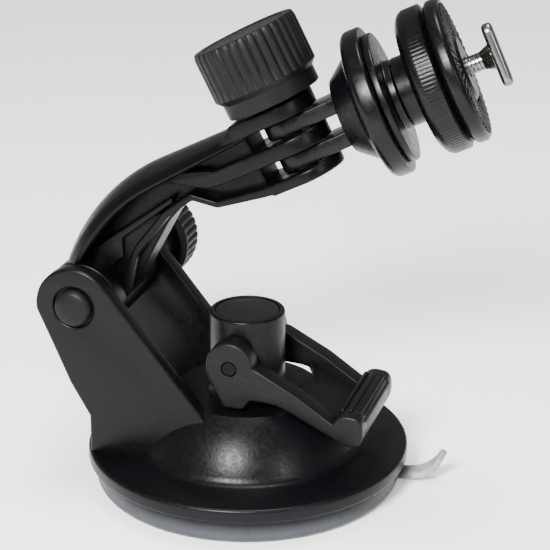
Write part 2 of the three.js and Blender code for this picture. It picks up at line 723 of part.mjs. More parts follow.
function swivelScrew() {
  const head = rod(ROOT_R, screwSeat + GAP, screwSeat + GAP + SCREW_HEAD_H, 20);
  return alongX(head.add(rod(STUD_R, HUB_BACK + RECESS + 0.4, screwSeat + 1, 20)));
}

function thumbWheel() {
  const grip = prism(ribbedOutline(WHEEL_R, WHEEL_RIBS, 0.4), WHEEL_BACK, WHEEL_FRONT, 1);
  const round = lathe([
    [0, WHEEL_BACK],
    [WHEEL_R - 2.4, WHEEL_BACK],
    [WHEEL_R - 0.6, WHEEL_BACK + 1],
    [WHEEL_R + 0.1, WHEEL_BACK + 2.2],
    [WHEEL_R + 0.1, WHEEL_FRONT - 0.5],
    [WHEEL_R - 0.8, WHEEL_FRONT],
    [0, WHEEL_FRONT],
  ], 36);
  const neck = rod(NECK_R, SEAM + GAP, WHEEL_BACK + 1, 32);
  return alongX(grip.intersect(round).add(neck)
    .subtract(rod(SPIGOT_R + RUN, SEAM - 1, WHEEL_FRONT + 1, 28)));
}

const discBack = WHEEL_FRONT + GAP;
const RIB_H = 0.6;

function clampDisc() {
  let disc = lathe([
    [0, discBack],
    [DISC_R - 1.2, discBack],
    [DISC_R, discBack + 1],
    [DISC_R, DISC_FRONT - 0.7],
    [DISC_R - 0.7, DISC_FRONT],
    [0, DISC_FRONT],
  ], 40);
  for (let i = 0; i < DISC_RIBS; i += 1) {
    const rib = box(DISC_HUB_R + 1.2, DISC_R - 1, -0.5, 0.5, DISC_FRONT - 0.5, DISC_FRONT + RIB_H);
    disc = disc.add(rib.rotate([0, 0, (360 * i) / DISC_RIBS]));
  }
  disc = disc.add(rod(DISC_HUB_R, DISC_FRONT - 0.5, DISC_FRONT + RIB_H, 28));
  return alongX(disc.subtract(rod(STUD_R + RUN, discBack - 1, DISC_FRONT + 2, 24)));
}

function tStud() {
  const root = prism(ribbedOutline(ROOT_R, 10, 0.3), screwSeat + 3.4, spigotEnd - GAP, 1);
  const shank = rod(STUD_R, screwSeat + 4, BAR_BACK + 1, 16);
  const shoulder = lathe([
    [0, BAR_BACK - 2],
    [STUD_R, BAR_BACK - 2],
    [STUD_R + 0.9, BAR_BACK + 0.1],
    [0, BAR_BACK + 0.1],
  ], 16);
  const endR = BAR_WIDE / 2;
  const reach = BAR_LONG / 2 - endR;
  const bar = new THREE.Shape();
  bar.absarc(-reach, 0, endR, Math.PI / 2, (3 * Math.PI) / 2, false);
  bar.absarc(reach, 0, endR, -Math.PI / 2, Math.PI / 2, false);
  const head = prism(bar, BAR_BACK, BAR_BACK + BAR_THICK, 10);
  return alongX(root.add(shank).add(shoulder).add(head));
}

// ---------------------------------------------------------------- assembly
const mount = new THREE.Group();
add(mount, 'base_cover', baseCover(), looks.matteBlack);
add(mount, 'suction_pad', suctionPad(), looks.pad);
add(mount, 'post_cap', rod(CAP_R, POST_TOP - CAP_H, POST_TOP - 0.1, 48), looks.matteBlack);
add(mount, 'stem', stem(), looks.steel);
add(mount, 'return_spring', returnSpring(), looks.steel);
add(mount, 'lever_pin', leverPin(), looks.steel);
add(mount, 'cam_lever', camLever(), looks.lever);

const tiltJoint = new THREE.Group();
tiltJoint.position.set(PIVOT_X, 0, PIVOT_Z);
mount.add(tiltJoint);
add(tiltJoint, 'tilt_bolt', tiltBolt(), looks.matteBlack);
add(tiltJoint, 'ratchet_ring', ratchetRing(), looks.matteBlack);
add(tiltJoint, 'tilt_washer', tiltWasher(), looks.steel);
add(tiltJoint, 'tilt_knob', alongY(knob(tiltKnobSizes)), looks.matteBlack);
const tiltInsert = insert(TILT_INSERT_R, tiltHubFrom, TILT_INSERT_END);
add(tiltJoint, 'tilt_knob_insert', alongY(tiltInsert), looks.brass);

const armFrame = new THREE.Group();
armFrame.rotation.y = -rad(ARM_ANGLE);
tiltJoint.add(armFrame);
add(armFrame, 'arm', arm(), looks.glossBlack);

const panJoint = new THREE.Group();
panJoint.position.set(JOINT_A, 0, 0);
armFrame.add(panJoint);
add(panJoint, 'pan_bolt', panBolt(), looks.steel);
const panWasher = washer(PAN_WASHER_R, BOLT_R + RUN, topWasherZ, topWasherZ + WASHER_T);
add(panJoint, 'pan_washer', panWasher, looks.steel);
add(panJoint, 'pan_knob', panKnob(), looks.matteBlack);
const panInsert = insert(PAN_INSERT_R, topWasherZ + WASHER_T + 2 * GAP, PAN_INSERT_END);
add(panJoint, 'pan_knob_insert', panInsert, looks.brass);

const head = new THREE.Group();
head.position.set(0, 0, (FINGER_LEVELS[1][0] + FINGER_LEVELS[1][1]) / 2);
head.rotation.z = rad(PAN_ANGLE);
panJoint.add(head);
add(head, 'head_yoke', headYoke(), looks.matteBlack);

const headAxis = new THREE.Group(); // its +X is the axis of the swivel, wheel, disc and stud
headAxis.position.set(0, 0, HEAD_RISE);
headAxis.rotation.y = rad(HEAD_DROOP);
head.add(headAxis);
add(headAxis, 'swivel_hub', swivelHub(), looks.matteBlack);
add(headAxis, 'swivel_screw', swivelScrew(), looks.steel);
add(headAxis, 'thumb_wheel', thumbWheel(), looks.matteBlack);
add(headAxis, 'clamp_disc', clampDisc(), looks.matteBlack);
add(headAxis, 't_stud', tStud(), looks.steel);

export default mount;
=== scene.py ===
import math

import bmesh
import bpy
from mathutils import Matrix, Vector


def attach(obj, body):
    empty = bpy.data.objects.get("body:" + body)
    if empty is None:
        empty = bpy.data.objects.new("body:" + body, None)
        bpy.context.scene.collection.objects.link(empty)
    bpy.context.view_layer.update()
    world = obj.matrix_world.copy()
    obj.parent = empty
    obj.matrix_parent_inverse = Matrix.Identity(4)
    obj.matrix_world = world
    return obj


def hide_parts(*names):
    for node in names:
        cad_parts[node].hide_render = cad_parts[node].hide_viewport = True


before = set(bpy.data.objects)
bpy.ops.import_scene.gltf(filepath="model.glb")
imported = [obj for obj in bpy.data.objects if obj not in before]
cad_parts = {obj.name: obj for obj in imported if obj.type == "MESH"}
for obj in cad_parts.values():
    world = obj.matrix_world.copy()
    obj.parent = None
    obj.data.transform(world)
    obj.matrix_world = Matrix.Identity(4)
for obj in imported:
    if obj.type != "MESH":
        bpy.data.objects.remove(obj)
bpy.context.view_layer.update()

MM = 0.001

# ------------------------------------------------------------------ sizes shared with the CAD, mm
PIVOT = (-34.1, 0.0, 42.6)
ARM_ANGLE = math.radians(27)
PAN_ANGLE = math.radians(10.5)
HEAD_DROOP = math.radians(2.5)
HEAD_RISE = 0.9
JOINT_A = 56.6
HEAD_B = 12.5
GAP = 0.3
BORE_R = 2.9  # hole for an M5 bolt
RIM_R, RIM_TOP, PAD_R, PAD_H, PAD_FLOOR = 36.0, 8.7, 34.3, 5.3, 2.6
DOME_R, DOME_FOOT_R, LAND_Z, WALL = 27.4, 25.5, 20.8, 2.3
POST_R, POST_TOP, POST_BORE_R, CAP_R = 8.35, 39.7, 5.6, 7.1
PIN_R, PIN_Z = 1.5, 30.8
LEVER_INNER, LEVER_OUTER, LEVER_PLATE = 9.0, 13.6, 4.6
LEVER_HEAD_R, LEVER_HEAD_RISE, ARCH_R = 5.2, 0.7, 15.4
TIP_X, TIP_Z = 28.2, 15.9
EAR_INNER, EAR_OUT, EAR_TOP_R = 13.65, 17.5, 8.8
EAR_BACK_X, EAR_FRONT_X, EAR_ROOT_Z = -31.2, -0.6, RIM_TOP - 1.5
SPRING_R, SPRING_WIRE, SPRING_TURNS = 7.4, 0.55, 4
ARM_TOP, ARM_BEND_A, ARM_BEND_R = 20.2, 25.5, 40.0
ARM_HALF, BODY_HALF, WEB_HALF, SLOT_A = 13.2, 8.0, 4.6, 48.8
BARREL_R, BARREL_FAR, CROWN, TOP_PLATE_T = 8.6, 10.4, 3.2, 2.0
FINGERS = ((4.3, 6.8), (10.8, 14.2), (18.2, 21.6))
PRONG_R, PRONG_T, PRONG_IN = 4.8, 3.4, 2.0
# places along the head's axis, counted from the pan axis
CONE_BACK, CONE_FRONT, FLANGE_FRONT, PLATE_FRONT, SEAM = 11.8, 16.6, 21.6, 23.4, 25.0
WHEEL_BACK, WHEEL_FRONT, DISC_BACK, DISC_FRONT = 28.9, 35.1, 35.4, 39.1
CONE_R, FLANGE_R, PLATE_R, NECK_R, SPIGOT_R = 11.8, 16.2, 14.2, 7.5, 5.3
WHEEL_R, DISC_R, STUD_R, BAR_LENGTH, BAR_END_R = 15.9, 15.7, 2.0, 13.9, 2.0

# ------------------------------------------------------------------ directions and origins
# d and n point along the arm and off its top; h and t along the head and across it
d = Vector((math.cos(ARM_ANGLE), 0, math.sin(ARM_ANGLE)))
n = Vector((-math.sin(ARM_ANGLE), 0, math.cos(ARM_ANGLE)))
X, Y, Z = Vector((1, 0, 0)), Vector((0, 1, 0)), Vector((0, 0, 1))
h = d * math.cos(PAN_ANGLE) + Y * math.sin(PAN_ANGLE)
t = -d * math.sin(PAN_ANGLE) + Y * math.cos(PAN_ANGLE)
pivot = Vector(PIVOT)
pan = pivot + d * JOINT_A
head = pan + n * HEAD_B
axis_h = h * math.cos(HEAD_DROOP) - n * math.sin(HEAD_DROOP)
axis_n = n * math.cos(HEAD_DROOP) + h * math.sin(HEAD_DROOP)
axis_head = head + n * HEAD_RISE


def place(origin, x, y, z):
    """A frame in millimetres as a matrix that also turns millimetres into metres."""
    m = Matrix((x, y, z)).transposed().to_4x4()
    m.translation = origin
    return Matrix.Scale(MM, 4) @ m


ORIGIN = Vector((0, 0, 0))
UP = place(ORIGIN, X, Y, Z)
SIDE = place(ORIGIN, X, Z, -Y)
TILT_AXIS = place(pivot, Z, X, Y)
ARM_SIDE = place(pivot, d, n, -Y)
ARM_FLAT = place(pivot, d, Y, n)
PAN_AXIS = place(pan, d, Y, n)
HEAD_AXIS = place(axis_head, t, axis_n, axis_h)
HEAD_FLAT = place(head, h, t, n)


# ------------------------------------------------------------------ mesh helpers
def new_object(name, mesh, smooth=35):
    for poly in mesh.polygons:
        poly.use_smooth = True
    mesh.set_sharp_from_angle(angle=math.radians(smooth))
    obj = bpy.data.objects.new(name, mesh)
    bpy.context.scene.collection.objects.link(obj)
    return obj


def from_bmesh(name, bm, matrix, smooth=35):
    bmesh.ops.remove_doubles(bm, verts=bm.verts, dist=1e-4)
    bmesh.ops.recalc_face_normals(bm, faces=bm.faces)
    bm.transform(matrix)
    mesh = bpy.data.meshes.new(name)
    bm.to_mesh(mesh)
    bm.free()
    return new_object(name, mesh, smooth)


def soften(points, radius, steps=4, closed=False):
    """Rounds each inner corner of a polyline; radius is a number or one number per point."""
    pts = [Vector(p) for p in points]
    out = []
    for i, p in enumerate(pts):
        r = radius[i] if isinstance(radius, (list, tuple)) else radius
        if (not closed and i in (0, len(pts) - 1)) or r <= 0:
            out.append(p)
            continue
        a, b = pts[i - 1], pts[(i + 1) % len(pts)]
        cut_a, cut_b = min(r, (a - p).length * 0.48), min(r, (b - p).length * 0.48)
        pa, pb = p + (a - p).normalized() * cut_a, p + (b - p).normalized() * cut_b
        for k in range(steps + 1):
            s = k / steps
            out.append(pa * (1 - s) ** 2 + p * (2 * s * (1 - s)) + pb * s ** 2)
    return [tuple(v) for v in out]


def skin(bm, rings):
    """Joins closed rings of vertices into a tube with both ends capped."""
    size = len(rings[0])
    for a, b in zip(rings, rings[1:]):
        for k in range(size):
            j = (k + 1) % size
            bm.faces.new((a[k], a[j], b[j], b[k]))
    bm.faces.new(rings[0])
    bm.faces.new(rings[-1])


def lathe(name, profile, matrix, segments=96, flute=None, closed=False, smooth=35):
    """Turns (radius, height) points about the frame's z; flute(angle, r, z) alters the radius."""
    bm = bmesh.new()
    rings = []
    for r, z in profile:
        if r < 1e-6:
            rings.append([bm.verts.new((0, 0, z))])
            continue
        ring = []
        for k in range(segments):
            angle = 2 * math.pi * k / segments
            radius = flute(angle, r, z) if flute else r
            ring.append(bm.verts.new((radius * math.cos(angle), radius * math.sin(angle), z)))
        rings.append(ring)
    pairs = list(zip(rings, rings[1:]))
    if closed:
        pairs.append((rings[-1], rings[0]))
    for a, b in pairs:
        for k in range(segments):
            j = (k + 1) % segments
            corners = [a[k % len(a)], a[j % len(a)], b[j % len(b)], b[k % len(b)]]
            unique = list(dict.fromkeys(corners))
            if len(unique) > 2:
                bm.faces.new(unique)
    return from_bmesh(name, bm, matrix, smooth)


def mesh_from_curve(name, curve):
    """The curve's mesh; the curve itself is removed."""
    holder = bpy.data.objects.new(name + "_curve", curve)
    bpy.context.scene.collection.objects.link(holder)
    evaluated = holder.evaluated_get(bpy.context.evaluated_depsgraph_get())
    mesh = bpy.data.meshes.new_from_object(evaluated)
    bpy.data.objects.remove(holder)
    bpy.data.curves.remove(curve)
    return mesh


def plate(name, loops, low, high, matrix, edge=0.4, smooth=35):
    """A flat plate from closed x-y loops, the first one outside, with rounded edges."""
    curve = bpy.data.curves.new(name, "CURVE")
    curve.dimensions = "2D"
    curve.fill_mode = "BOTH"
    curve.extrude = (high - low) / 2 - edge
    curve.bevel_depth = edge
    curve.bevel_resolution = 2
    curve.offset = -edge
    for loop in loops:
        spline = curve.splines.new("POLY")
        spline.points.add(len(loop) - 1)
        for point, (x, y) in zip(spline.points, loop):
            point.co = (x, y, 0, 1)
        spline.use_cyclic_u = True
    flat = mesh_from_curve(name, curve)
    bm = bmesh.new()
    bm.from_mesh(flat)
    bmesh.ops.translate(bm, verts=bm.verts, vec=(0, 0, (low + high) / 2))
    bpy.data.meshes.remove(flat)
    return from_bmesh(name, bm, matrix, smooth)


def circle(r, x=0.0, y=0.0, count=48, start=0.0):
    angles = [start + 2 * math.pi / count * k for k in range(count)]
    return [(x + r * math.cos(a), y + r * math.sin(a)) for a in angles]


def arc(r, x, y, a0, a1, count=16):
    """Points of an arc about x, y, from a0 to a1 in degrees."""
    out = []
    for k in range(count + 1):
        a = math.radians(a0 + (a1 - a0) * k / count)
        out.append((x + r * math.cos(a), y + r * math.sin(a)))
    return out


def join(name, objects):
    """Joins the shells of one moulded piece into one object."""
    bm = bmesh.new()
    for obj in objects:
        bm.from_mesh(obj.data)
        bpy.data.objects.remove(obj)
    mesh = bpy.data.meshes.new(name)
    bm.to_mesh(mesh)
    bm.free()
    return new_object(name, mesh)


# ------------------------------------------------------------------ materials
def shader(name, color, rough, metallic=0.0, **sockets):
    material = bpy.data.materials.new(name)
    material.use_nodes = True
    tree = material.node_tree
    bsdf = tree.nodes["Principled BSDF"]
    bsdf.inputs["Base Color"].default_value = (*color, 1)
    bsdf.inputs["Roughness"].default_value = rough
    bsdf.inputs["Metallic"].default_value = metallic
    for socket, value in sockets.items():
        bsdf.inputs[socket.replace("_", " ")].default_value = value
    return material, tree, bsdf


def noise(tree, scale, detail=3.0, stretch=None):
    coord = tree.nodes.new("ShaderNodeTexCoord")
    node = tree.nodes.new("ShaderNodeTexNoise")
    node.inputs["Scale"].default_value = scale
    node.inputs["Detail"].default_value = detail
    vector = coord.outputs["Object"]
    if stretch:
        mapping = tree.nodes.new("ShaderNodeMapping")
        mapping.inputs["Scale"].default_value = stretch
        tree.links.new(vector, mapping.inputs["Vector"])
        vector = mapping.outputs["Vector"]
    tree.links.new(vector, node.inputs["Vector"])
    return node.outputs["Fac"]


def ramp(tree, source, low, high, start=0.3, end=0.7):
    """A colour between two, from a number."""
    node = tree.nodes.new("ShaderNodeValToRGB")
    node.color_ramp.elements[0].position = start
    node.color_ramp.elements[1].position = end
    node.color_ramp.elements[0].color = (*low, 1)
    node.color_ramp.elements[1].color = (*high, 1)
    tree.links.new(source, node.inputs["Fac"])
    return node.outputs["Color"]


def spread(tree, source, low, high, start=0.3, end=0.7):
    """A number between two, from another number."""
    node = tree.nodes.new("ShaderNodeMapRange")
    node.inputs["From Min"].default_value = start
    node.inputs["From Max"].default_value = end
    node.inputs["To Min"].default_value = low
    node.inputs["To Max"].default_value = high
    tree.links.new(source, node.inputs["Value"])
    return node.outputs["Result"]


def mixed(tree, factor, a, b):
    """Mixes two colours; the factor is a number or a socket. Sockets 6, 7 and 2 carry colour."""
    node = tree.nodes.new("ShaderNodeMix")
    node.data_type = "RGBA"
    if isinstance(factor, float):
        node.inputs["Factor"].default_value = factor
    else:
        tree.links.new(factor, node.inputs["Factor"])
    tree.links.new(a, node.inputs[6])
    tree.links.new(b, node.inputs[7])
    return node.outputs[2]


def bump(tree, bsdf, layers):
    """Adds up bump layers of (height, strength, distance)."""
    normal = None
    for height, strength, distance in layers:
        node = tree.nodes.new("ShaderNodeBump")
        node.inputs["Strength"].default_value = strength
        node.inputs["Distance"].default_value = distance
        tree.links.new(height, node.inputs["Height"])
        if normal:
            tree.links.new(normal, node.inputs["Normal"])
        normal = node.outputs["Normal"]
    tree.links.new(normal, bsdf.inputs["Normal"])


def plastic(name, color, rough, grain=0.25, size=2600, wear=0.012, **sockets):
    """Moulded plastic: fine grain, uneven tone and sheen, and paler worn edges."""
    material, tree, bsdf = shader(name, color, rough, **sockets)
    broad = noise(tree, 45, 4)
    fine = noise(tree, size, 2)
    dust = noise(tree, 900, 5)
    low = tuple(c * 0.8 for c in color)
    high = tuple(c * 1.25 for c in color)
    base = ramp(tree, broad, low, high)
    edge_color = tuple(c + wear for c in color)
    geometry = tree.nodes.new("ShaderNodeNewGeometry")
    edge = spread(tree, geometry.outputs["Pointiness"], 0, 1, 0.52, 0.6)
    worn = ramp(tree, dust, color, edge_color, 0.35, 0.65)
    tree.links.new(mixed(tree, edge, base, worn), bsdf.inputs["Base Color"])
    tree.links.new(spread(tree, dust, rough - 0.07, rough + 0.07), bsdf.inputs["Roughness"])
    bump(tree, bsdf, [(fine, grain, 0.00006), (broad, 0.06, 0.0004)])
    return material


def metal(name, color, rough, brush=(1, 1, 14)):
    """Plated metal: fine brush lines and faint stains."""
    material, tree, bsdf = shader(name, color, rough, 1.0)
    lines = noise(tree, 700, 3, brush)
    stain = noise(tree, 120, 5)
    low = tuple(c * 0.72 for c in color)
    tree.links.new(ramp(tree, stain, low, color, 0.3, 0.6), bsdf.inputs["Base Color"])
    tree.links.new(spread(tree, stain, rough + 0.12, rough - 0.05), bsdf.inputs["Roughness"])
    bump(tree, bsdf, [(lines, 0.12, 0.00003)])
    return material


SHELL = plastic("shell_plastic", (0.0018, 0.0018, 0.0024), 0.34, grain=0.5, size=1500, wear=0.003,
                Specular_IOR_Level=0.13)
EAR = plastic("knob_plastic", (0.0028, 0.0028, 0.0034), 0.48, grain=0.18, size=3000, wear=0.003,
              Specular_IOR_Level=0.13)
# painted light: the cap's black is paler than the other plastics, standing in for the lamp above
# lighting its top
CAP_PAINTED_TOPLIGHT = plastic("cap_plastic_painted_toplight", (0.0045, 0.0045, 0.0052), 0.5, grain=0.2, size=2600, wear=0.003,
              Specular_IOR_Level=0.2)
ARM = plastic("arm_gloss", (0.0008, 0.0012, 0.001), 0.34, grain=0.0, size=1500, wear=0.0,
              Specular_IOR_Level=0.11)
LEVER = plastic("lever_plastic", (0.0026, 0.0027, 0.0033), 0.42, grain=0.15, size=2600, wear=0.003,
                Specular_IOR_Level=0.15)
HEAD = plastic("head_plastic", (0.0013, 0.0015, 0.0019), 0.3, grain=0.1, size=2400, wear=0.003,
               Specular_IOR_Level=0.15)
STEEL = metal("plated_steel", (0.17, 0.167, 0.158), 0.24)
DARK_STEEL = metal("blackened_pin", (0.012, 0.012, 0.013), 0.45)
BRASS = metal("brass", (0.56, 0.42, 0.2), 0.3)


def pad_material():
    """Soft vinyl, cloudy, with a painted highlight as a pale band at the foot that fades darker
    upwards, and a pale grey tab.
    """
    material, tree, bsdf = shader("pad_vinyl", (0.3, 0.31, 0.33), 0.3,
                                  Specular_IOR_Level=0.12)
    coord = tree.nodes.new("ShaderNodeTexCoord")
    split = tree.nodes.new("ShaderNodeSeparateXYZ")
    tree.links.new(coord.outputs["Object"], split.inputs["Vector"])
    # painted highlight: pale at the foot and darker upwards, by height, in place of light caught
    # along the pad's lower edge
    painted_highlight_band = ramp(tree, spread(tree, split.outputs["Z"], 0, 1, 0.0012, 0.005),
                (0.06, 0.063, 0.07), (0.004, 0.0042, 0.005), 0.15, 0.75)
    cloud = ramp(tree, noise(tree, 130, 4), (0.006, 0.007, 0.009), (0.03, 0.032, 0.037))
    blend = mixed(tree, 0.35, painted_highlight_band, cloud)
    # from the disc's edge outwards the tab takes over; object coordinates are in metres
    tab_side = spread(tree, split.outputs["X"], 0, 1, 0.0345, 0.037)
    tab_cloud = ramp(tree, noise(tree, 420, 4), (0.16, 0.162, 0.166), (0.34, 0.345, 0.35))
    tree.links.new(mixed(tree, tab_side, blend, tab_cloud), bsdf.inputs["Base Color"])
    tree.links.new(spread(tree, noise(tree, 500, 3), 0.22, 0.4), bsdf.inputs["Roughness"])
    bump(tree, bsdf, [(noise(tree, 260, 3), 0.1, 0.0002)])
    return material


PAD = pad_material()

# pieces whose CAD mesh stays and only gets a look
CAD_LOOKS = {
    "stem": STEEL, "lever_pin": DARK_STEEL, "tilt_washer": STEEL, "pan_bolt": STEEL,
    "pan_washer": STEEL, "swivel_screw": STEEL,
    "tilt_knob_insert": BRASS, "pan_knob_insert": BRASS,
}
for node_name, look in CAD_LOOKS.items():
    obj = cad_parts[node_name]
    obj.data.materials.clear()
    obj.data.materials.append(look)


def finish_piece(obj, body, look, slot_name, *nodes):
    """Gives a piece its look and body, and hides the CAD nodes it stands for; slot_name is not
    used.
    """
    obj.data.materials.clear()
    obj.data.materials.append(look)
    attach(obj, body)
    if nodes:
        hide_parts(*nodes)


# ------------------------------------------------------------------ base cover
def dome_points(r0, z1, count=14):
    """Points up the dome's curve, from radius r0 to height z1."""
    centre = RIM_TOP - math.sqrt(DOME_R ** 2 - DOME_FOOT_R ** 2)
    a0, a1 = math.acos(r0 / DOME_R), math.asin((z1 - centre) / DOME_R)
    out = []
    for k in range(count + 1):
        a = a0 + (a1 - a0) * k / count
        out.append((DOME_R * math.cos(a), centre + DOME_R * math.sin(a)))
    return out


def cover():
    z0 = PAD_H + GAP
    outside = soften([
        (RIM_R - 2.0, z0), (RIM_R, z0), (RIM_R, RIM_TOP), (DOME_FOOT_R + 2.4, RIM_TOP),
    ], [0, 0.5, 0.9, 0])
    foot = [(DOME_FOOT_R + 1.1, RIM_TOP + 0.06), (DOME_FOOT_R + 0.3, RIM_TOP + 0.35)]
    dome = dome_points(DOME_FOOT_R - 0.4, LAND_Z)
    top = soften([dome[-1], (15.0, LAND_Z), (8.0, LAND_Z)], [0, 0.8, 0])
    roof = LAND_Z - WALL
    inside = [(8.0, roof), (13.0, roof), (19.5, 14.0), (22.6, 8.6), (22.9, z0)]
    shell = lathe("shell", outside + foot + dome[:-1] + top + inside, UP, 160, closed=True)
    post = lathe("post", soften([
        (POST_BORE_R, roof), (POST_R + 1.0, roof), (POST_R + 0.9, LAND_Z + 0.1),
        (POST_R, LAND_Z + 1.6), (POST_R, POST_TOP), (CAP_R + 0.12, POST_TOP),
        (CAP_R + 0.12, POST_TOP - 1.9), (POST_BORE_R, POST_TOP - 1.9),
    ], [0, 0, 0.6, 1.2, 0.55, 0.15, 0, 0]), UP, 96, closed=True)
    px, _, pz = PIVOT
    outline = [(EAR_FRONT_X, EAR_ROOT_Z), (EAR_FRONT_X, LAND_Z - 6)]
    outline += arc(EAR_TOP_R, px, pz, 37, 188, 36)
    outline += [
        (px - 5.1, pz - 9.4), (px - 1.5, pz - 17.8), (EAR_BACK_X, pz - 25.4),
        (EAR_BACK_X, EAR_ROOT_Z),
    ]
    pieces = [shell, post]
    near_hole, far_hole = circle(4.6, px, pz), circle(BORE_R, px, pz)
    pieces.append(plate("ear_near", [outline, near_hole], EAR_INNER, EAR_OUT, SIDE, 0.55))
    pieces.append(plate("ear_far", [outline, far_hole], -EAR_OUT, -EAR_INNER, SIDE, 0.55))
    # a ring that closes the far ear's hole round the tilt bolt
    seat_r, seat_out, seat_in = 4.7, -EAR_OUT + 0.9, -EAR_INNER - 0.1
    seat = [(seat_r, seat_out), (BORE_R, seat_out), (BORE_R, seat_in), (seat_r, seat_in)]
    pieces.append(lathe("seat", seat, TILT_AXIS, 64, closed=True))
    return join("cover_body", pieces)


finish_piece(cover(), "base", SHELL, "matte_black", "base_cover")

cap_top = POST_TOP - 0.1
cap_dish = cap_top - 0.15
cap = lathe("cap_disc", soften([
    (0, POST_TOP - 1.6), (CAP_R, POST_TOP - 1.6), (CAP_R, cap_top), (CAP_R - 1.5, cap_top),
    (CAP_R - 1.7, cap_dish), (0, cap_dish),
], [0, 0.1, 0.4, 0.1, 0.1, 0]), UP, 96)
finish_piece(cap, "base", CAP_PAINTED_TOPLIGHT, "matte_black", "post_cap")


# ------------------------------------------------------------------ suction pad
def pad():
    body = lathe("disc", soften([
        (0, 0), (PAD_R - 0.7, 0), (PAD_R, 1.0), (PAD_R - 0.25, 2.2), (PAD_R - 0.2, PAD_H - 0.4),
        (PAD_R - 1.2, PAD_H), (22.5, PAD_H), (17.0, PAD_FLOOR), (0, PAD_FLOOR),
    ], [0, 0.3, 0.5, 0.8, 0.4, 0.4, 0.8, 0.8, 0]), UP, 160)
    path = soften([(PAD_R - 3, 1.4), (PAD_R + 4.6, 1.4), (PAD_R + 8.0, 3.4), (PAD_R + 10.0, 7.0)],
                  [0, 3.0, 3.0, 0], 8)
    # the pull tab: a flat strip with rounded sides, narrower over its last rings
    tab_half, tab_thick, tab_angle, sides, end_rings = 2.4, 1.0, math.radians(11), 24, 6
    bm = bmesh.new()
    rings = []
    count = len(path)
    for i, (x, z) in enumerate(path):
        a = Vector(path[max(i - 1, 0)])
        b = Vector(path[min(i + 1, count - 1)])
        along = (b - a).normalized()
        side = Vector((-along.y, along.x))
        end = max(0.0, (i - (count - 1 - end_rings)) / end_rings)
        half = tab_half * math.sqrt(max(1 - (end * 0.93) ** 2, 0.02))
        thick = tab_thick * (1 - 0.25 * end)
        ring = []
        for k in range(sides):
            angle = 2 * math.pi * k / sides
            u = math.copysign(abs(math.cos(angle)) ** 0.6, math.cos(angle)) * half
            v = math.copysign(abs(math.sin(angle)) ** 0.8, math.sin(angle)) * thick
            ring.append(bm.verts.new((x + side.x * v, u, z + side.y * v)))
        rings.append(ring)
    skin(bm, rings)
    turn = Matrix.Rotation(tab_angle, 3, "Z")
    bmesh.ops.rotate(bm, verts=bm.verts, cent=(0, 0, 0), matrix=turn)
    tab = from_bmesh("tab", bm, UP, 60)
    return join("pad_body", [body, tab])


finish_piece(pad(), "base", PAD, "pad", "suction_pad")


# ------------------------------------------------------------------ return spring
def tube(name, points, radius, matrix):
    """A round wire along a line of points."""
    curve = bpy.data.curves.new(name, "CURVE")
    curve.dimensions = "3D"
    curve.bevel_depth = radius
    curve.bevel_resolution = 3
    curve.use_fill_caps = True
    spline = curve.splines.new("POLY")
    spline.points.add(len(points) - 1)
    for point, co in zip(spline.points, points):
        point.co = (*co, 1)
    mesh = mesh_from_curve(name, curve)
    mesh.transform(matrix)
    return new_object(name, mesh, 60)


coil = []
coil_low, coil_high, coil_steps = 9.8, 17.5, SPRING_TURNS * 36
for k in range(coil_steps + 1):
    share = k / coil_steps
    angle = 2 * math.pi * SPRING_TURNS * share
    height = coil_low + (coil_high - coil_low) * share
    coil.append((SPRING_R * math.cos(angle), SPRING_R * math.sin(angle), height))
spring = tube("spring_coil", coil, SPRING_WIRE, UP)
finish_piece(spring, "base", STEEL, "steel", "return_spring")


